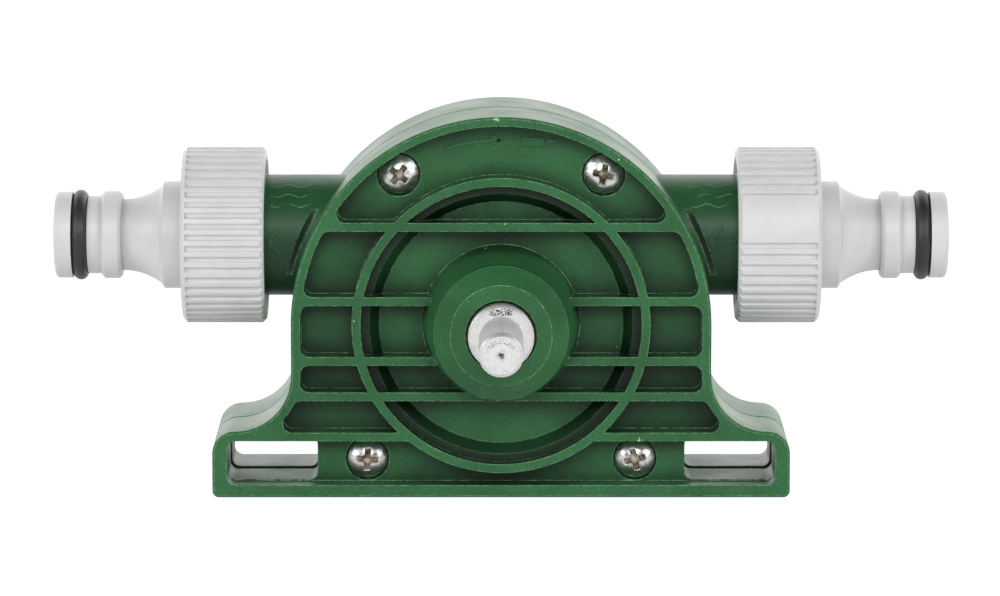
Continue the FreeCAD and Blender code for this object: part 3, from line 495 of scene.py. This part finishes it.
def finishZincScrews():
    look = zincScrews
    material, tree, shader, coords = startMaterial("zincScrewSteel")
    grain = useGroup(tree, mouldGrain, coords, Scale=2400.0, Cloud=700.0)
    surface = tree.nodes.new("ShaderNodeNewGeometry")
    split = tree.nodes.new("ShaderNodeSeparateXYZ")
    join(tree, surface.outputs["Normal"], split.inputs["Vector"])
    position = tree.nodes.new("ShaderNodeSeparateXYZ")
    join(tree, coords, position.inputs["Vector"])
    isUpper = mathNode(tree, "GREATER_THAN", position.outputs["Z"], shaftHeight)
    centreX, centreZ = (mathNode(tree, "MULTIPLY_ADD", isUpper, high - low, low)
                        for high, low in zip(look["upper"], look["lower"]))
    aside = mathNode(tree, "SUBTRACT", mathNode(tree, "ABSOLUTE", position.outputs["X"]), centreX)
    above = mathNode(tree, "SUBTRACT", position.outputs["Z"], centreZ)
    inward = mathNode(tree, "SUBTRACT", position.outputs["Y"], screwBox[0][1] + look["domeRadius"])
    flat = mathNode(tree, "MULTIPLY_ADD", aside, aside, mathNode(tree, "MULTIPLY", above, above))
    reach = mathNode(tree, "SQRT", mathNode(tree, "MULTIPLY_ADD", inward, inward, flat))
    sunk = mathNode(tree, "SUBTRACT", look["domeRadius"], reach)
    inHead = mathNode(tree, "LESS_THAN", flat, look["headReach"] ** 2)
    inside = mathNode(tree, "MULTIPLY", remap(tree, sunk, 0.03 * mm, 0.12 * mm), inHead)
    edge = useGroup(tree, paintedEdgeLines, coords, Radius=0.2 * mm, Patchy=0.36, PatchScale=1600.0)
    corner = useGroup(tree, cornerShade, coords, Reach=1.1 * mm, Darkest=0.1)
    # painted highlight on the lip around the cross recess
    paintedLipHighlight = product(tree, edge["Mask"], remap(tree, sunk, 0.6 * mm, 0.3 * mm), inHead)
    # dark patches at random, stronger on surfaces facing down: darker towards the bottom
    dullPatches = remap(tree, grain["Cloudiness"], 0.42, 0.6)
    low = remap(tree, split.outputs["Z"], 0.1, -0.5)
    dull = mathNode(tree, "MULTIPLY", dullPatches, mathNode(tree, "MULTIPLY_ADD", low, 0.7, 0.18))
    base = mixColour(tree, dull, look["colour"], look["dullPatches"])
    patchy = mixColour(tree, dullPatches, look["recess"], look["recessDark"])
    base = mixColour(tree, inside, base, darken(tree, patchy, corner["Shade"]))
    base = mixColour(tree, mathNode(tree, "MULTIPLY", paintedLipHighlight, 0.8), base, look["lip"])
    join(tree, base, shader.inputs["Base Color"])
    join(tree, mathNode(tree, "MULTIPLY_ADD", inside, -0.7, 1.0), shader.inputs["Metallic"])
    rough = remap(tree, grain["Cloudiness"], 0.3, 0.7, look["roughness"], look["roughness"] + 0.2)
    join(tree, rough, shader.inputs["Roughness"])
    bump = addNode(tree, "ShaderNodeBump", Strength=0.3, Distance=0.00005)
    join(tree, grain["Height"], bump.inputs["Height"])
    join(tree, edge["Normal"], bump.inputs["Normal"])
    join(tree, bump.outputs["Normal"], shader.inputs["Normal"])
    return material


finishes = {
    "housing_plastic": finishGreenPlastic("mouldedGreenPlastic", 0.9),
    "connector_plastic": finishGreyPlastic(),
    "white_plastic": finishGreyPlastic(),
    "seal_rubber": finishRubber("blackSealRubber", (0.018, 0.018, 0.019), 0.42),
    "impeller_rubber": finishRubber("blackVaneRubber", (0.022, 0.022, 0.022), 0.55),
    "turned_steel": finishTurnedSteel(),
    "zinc_steel": finishZincScrews(),
    "stainless_steel": finishPlainMetal("stainlessPlate", (0.60, 0.60, 0.60), 0.30),
    "spring_steel": finishPlainMetal("oiledClipSteel", (0.25, 0.25, 0.26), 0.35),
    "bronze": finishPlainMetal("oiledBronze", (0.10, 0.075, 0.045), 0.45),
}

raisedGreen = finishGreenPlastic("raisedGreenMarks", 0.12)

for entry in frame["record"]["subparts"]:
    holder = nodes[entry["node"]]
    for place in holder.material_slots:
        place.material = finishes[entry["material_slot"]]
print("finishes given to", len(nodes), "nodes")


# raised marks on the housings

def raiseStrip(name, width, height, steps, place):
    bpy.ops.object.select_all(action="DESELECT")
    bpy.ops.mesh.primitive_grid_add(x_subdivisions=steps, y_subdivisions=1, size=1.0)
    strip = bpy.context.object
    strip.name = name
    for vertex in strip.data.vertices:
        vertex.co = place(vertex.co.x + 0.5, vertex.co.y * width)
    thicken = strip.modifiers.new("thicken", "SOLIDIFY")
    thicken.thickness = 2 * height
    thicken.offset = 0
    soften = strip.modifiers.new("soften", "BEVEL")
    soften.width = 0.3 * height
    soften.segments = 2
    bpy.ops.object.modifier_apply(modifier="thicken")
    bpy.ops.object.modifier_apply(modifier="soften")
    bpy.ops.object.mode_set(mode="EDIT")
    bpy.ops.mesh.select_all(action="SELECT")
    bpy.ops.mesh.normals_make_consistent(inside=False)
    bpy.ops.object.mode_set(mode="OBJECT")
    return strip


def joinPiece(name, strips, material):
    bpy.ops.object.select_all(action="DESELECT")
    for strip in strips:
        strip.select_set(True)
    bpy.context.view_layer.objects.active = strips[0]
    if len(strips) > 1:
        bpy.ops.object.join()
    piece = bpy.context.view_layer.objects.active
    piece.name = name
    piece.data.materials.clear()
    piece.data.materials.append(material)
    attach(piece, "housing")
    return piece


def onTube(x, angle):
    turn = math.radians(angle)
    return Vector((x, -tubeRadius * math.cos(turn), portHeight + tubeRadius * math.sin(turn)))


def barOnTube(name, start, end, width, height):
    perDegree = tubeRadius * math.radians(1)
    run = Vector((end[0] - start[0], (end[1] - start[1]) * perDegree))
    side = Vector((-run.y, run.x)).normalized()

    def place(along, across):
        x = start[0] + run.x * along + side.x * across
        return onTube(x, start[1] + (run.y * along + side.y * across) / perDegree)
    return raiseStrip(name, width, height, 12, place)


waveMarks = dict(
    width=0.24 * mm, height=0.07 * mm, period=4.3 * mm, swing=1.9, inner=34.6 * mm, outer=42.4 * mm,
    angles=(61.0, 48.0, 36.8), green=(0.02, 0.10, 0.035, 1), paintedHighlight=(0.085, 0.22, 0.115, 1))


def finishWaveLines():
    material, tree, shader, coords = startMaterial("waveLinesPaintedHighlight")
    grain = useGroup(tree, mouldGrain, coords, Scale=2000.0, Cloud=500.0)
    # painted highlight: the raised wave strips are paler in patches, standing in for light on their edges
    markMask = remap(tree, grain["Cloudiness"], 0.40, 0.58)
    join(tree, mixColour(tree, markMask, waveMarks["green"], waveMarks["paintedHighlight"]), shader.inputs["Base Color"])
    join(tree, remap(tree, grain["Height"], 0.3, 0.7, 0.34, 0.5), shader.inputs["Roughness"])
    bump = addNode(tree, "ShaderNodeBump", Strength=0.2, Distance=0.00005)
    join(tree, grain["Height"], bump.inputs["Height"])
    join(tree, bump.outputs["Normal"], shader.inputs["Normal"])
    return material


paintedHighlightWaveLines = finishWaveLines()


def markWaves(side, label, startPhase):
    look = waveMarks
    strips = []
    for angle in look["angles"]:
        def place(along, across):
            x = look["inner"] + (look["outer"] - look["inner"]) * along
            phase = 2 * math.pi * (x - look["inner"]) / look["period"] + startPhase
            lift = look["swing"] * math.sin(phase) + math.degrees(across / tubeRadius)
            return onTube(side * x, angle + lift)
        strips.append(raiseStrip(label, look["width"], look["height"], 60, place))
    return joinPiece(label, strips, paintedHighlightWaveLines)


flowArrow = dict(
    width=0.75 * mm, height=0.16 * mm, level=1.3, noseGap=0.4 * mm, armRun=2.5 * mm, armRise=13.8)


def markFlowArrow(tip, tail, label):
    look = flowArrow
    nose = (tip, look["level"])
    start = (tip + look["noseGap"], look["level"])
    strips = [barOnTube(label, start, (tail, look["level"]), look["width"], look["height"])]
    for way in (-1, 1):
        end = (tip + look["armRun"], look["level"] + way * look["armRise"])
        strips.append(barOnTube(label, nose, end, look["width"], look["height"]))
    return joinPiece(label, strips, raisedGreen)


turnArrow = dict(
    radius=33.8 * mm, start=107.8, end=90.4, width=0.7 * mm, height=0.22 * mm, armRun=2.1 * mm,
    armRise=0.95 * mm)
drillSign = dict(
    left=3.75 * mm, right=7.95 * mm, low=64.7 * mm, high=66.3 * mm, height=0.22 * mm,
    chuckGap=0.8 * mm, chuckEnd=10.2 * mm, chuckLift=(0.2 * mm, 0.1 * mm),
    gripLow=62.9 * mm, gripWidth=1.5 * mm, gripInset=(0.6 * mm, 0.1 * mm))


def onPocket(x, z):
    return Vector((x, pocketFloor, z))


def barOnPocket(name, start, end, width, height):
    run = Vector((end[0] - start[0], end[1] - start[1]))
    side = Vector((-run.y, run.x)).normalized()

    def place(along, across):
        spot = Vector(start) + run * along + side * across
        return onPocket(spot.x, spot.y)
    return raiseStrip(name, width, height, 4, place)


def markTurnArrow():
    look = turnArrow

    def bent(along, across):
        turn = math.radians(look["start"] + (look["end"] - look["start"]) * along)
        reach = look["radius"] + across
        return onPocket(reach * math.cos(turn), shaftHeight + reach * math.sin(turn))
    tip = (0.0, shaftHeight + look["radius"])
    strips = [raiseStrip("turnArrow", look["width"], look["height"], 32, bent)]
    for way in (-1, 1):
        arm = (tip[0] - look["armRun"], tip[1] + way * look["armRise"])
        strips.append(barOnPocket("turnArrow", tip, arm, look["width"] * 0.8, look["height"]))
    return joinPiece("turnArrow", strips, raisedGreen)


def markDrillSign():
    look = drillSign
    middle = (look["low"] + look["high"]) / 2
    tall = look["high"] - look["low"]
    chuckStart = (look["right"] + look["chuckGap"], middle + look["chuckLift"][0])
    chuckEnd = (look["chuckEnd"], middle + look["chuckLift"][1])
    gripTop = (look["left"] + look["gripInset"][0], look["low"])
    gripFoot = (look["left"] + look["gripInset"][1], look["gripLow"])
    strips = [
        barOnPocket("drillSign", (look["left"], middle), (look["right"], middle), tall, look["height"]),
        barOnPocket("drillSign", chuckStart, chuckEnd, tall * 0.5, look["height"]),
        barOnPocket("drillSign", gripTop, gripFoot, look["gripWidth"], look["height"] * 0.6)]
    return joinPiece("drillSign", strips, raisedGreen)


markWaves(1, "inletWaves", math.pi)
markWaves(-1, "outletWaves", 0.4 * math.pi)
markFlowArrow(38.1 * mm, 43.3 * mm, "inletFlowArrow")
markFlowArrow(-43.0 * mm, -37.9 * mm, "outletFlowArrow")
markTurnArrow()
markDrillSign()
print("raised marks made")


# studio

studio = dict(
    floorReach=7.0, floorGap=0.1 * mm, wallDistance=3.2, wallHeight=5.3, bend=1.3,
    cameraGlow=0.86, frontGlow=0.55, backGlow=1.75, fadeStart=0.0, fadeEnd=0.5, airGlow=0.06)


def buildStudio():
    look = studio
    bpy.ops.object.select_all(action="DESELECT")
    floorLevel = baseLevel - look["floorGap"]
    bpy.ops.mesh.primitive_plane_add(size=2 * look["floorReach"], location=(0, 0, floorLevel))
    sweep = bpy.context.object
    sweep.name = "studioSweep"
    for vertex in sweep.data.vertices:
        vertex.select = vertex.co.y > 0
        if vertex.select:
            vertex.co.y = look["wallDistance"]
    for edge in sweep.data.edges:
        edge.select = all(sweep.data.vertices[v].select for v in edge.vertices)
    sweep.data.polygons[0].select = False
    bpy.ops.object.mode_set(mode="EDIT")
    bpy.ops.mesh.extrude_region_move(TRANSFORM_OT_translate={"value": (0, 0, look["wallHeight"])})
    bpy.ops.object.mode_set(mode="OBJECT")
    soften = sweep.modifiers.new("bend", "BEVEL")
    soften.width = look["bend"]
    soften.segments = 16
    bpy.ops.object.modifier_apply(modifier="bend")
    bpy.ops.object.shade_smooth()
    sweep.data.materials.append(finishStudioPaper())


def finishStudioPaper():
    look = studio
    material, tree, shader, coords = startMaterial("studioPaper")
    split = tree.nodes.new("ShaderNodeSeparateXYZ")
    join(tree, coords, split.inputs["Vector"])
    back = remap(tree, split.outputs["Y"], look["fadeStart"], look["fadeEnd"],
                 look["frontGlow"], look["backGlow"])
    seen = tree.nodes.new("ShaderNodeLightPath")
    glow = mathNode(tree, "MULTIPLY_ADD", seen.outputs["Is Camera Ray"],
                    mathNode(tree, "SUBTRACT", look["cameraGlow"], back), back)
    join(tree, glow, shader.inputs["Emission Strength"])
    shader.inputs["Base Color"].default_value = (0.3, 0.3, 0.3, 1)
    shader.inputs["Roughness"].default_value = 0.9
    shader.inputs["Emission Color"].default_value = (1, 1, 1, 1)
    return material


def addSoftbox(name, place, aim, size, power):
    bpy.ops.object.light_add(type="AREA", location=place)
    lamp = bpy.context.object
    lamp.name = name
    lamp.data.shape = "RECTANGLE"
    lamp.data.size, lamp.data.size_y = size
    lamp.data.energy = power
    lamp.rotation_euler = (Vector(aim) - Vector(place)).to_track_quat("-Z", "Y").to_euler()
    return lamp


def lightStudio():
    middle = (0, 0, shaftHeight)
    addSoftbox("topSoftbox", (0, -0.3, 0.9), middle, (1.0, 0.5), 0.3)
    addSoftbox("leftSoftbox", (-0.98, -0.66, 0.5), middle, (0.4, 0.6), 6.6)
    addSoftbox("rightSoftbox", (0.98, -0.66, 0.5), middle, (0.4, 0.6), 6.2)
    addSoftbox("frontSoftbox", (0, -1.1, 0.6), middle, (0.8, 0.4), 6.3)
    world = bpy.data.worlds.new("studioAir")
    world.use_nodes = True
    world.node_tree.nodes["Background"].inputs["Color"].default_value = (1, 1, 1, 1)
    world.node_tree.nodes["Background"].inputs["Strength"].default_value = studio["airGlow"]
    bpy.context.scene.world = world


camera = dict(distance=0.989, down=9.1, lens=194.4, aim=(-0.2 * mm, ribPlane, 37.25 * mm))


def placeCamera():
    turn = math.radians(camera["down"])
    aim = Vector(camera["aim"])
    place = aim + camera["distance"] * Vector((0, -math.cos(turn), math.sin(turn)))
    bpy.ops.object.camera_add(location=place, rotation=(math.pi / 2 - turn, 0, 0))
    holder = bpy.context.object
    holder.name = "studioCamera"
    holder.data.sensor_width = 36.0
    holder.data.lens = camera["lens"]
    holder.data.clip_end = 20.0
    bpy.context.scene.camera = holder


buildStudio()
lightStudio()
placeCamera()
bpy.context.scene.view_settings.view_transform = "Standard"
print("studio ready")
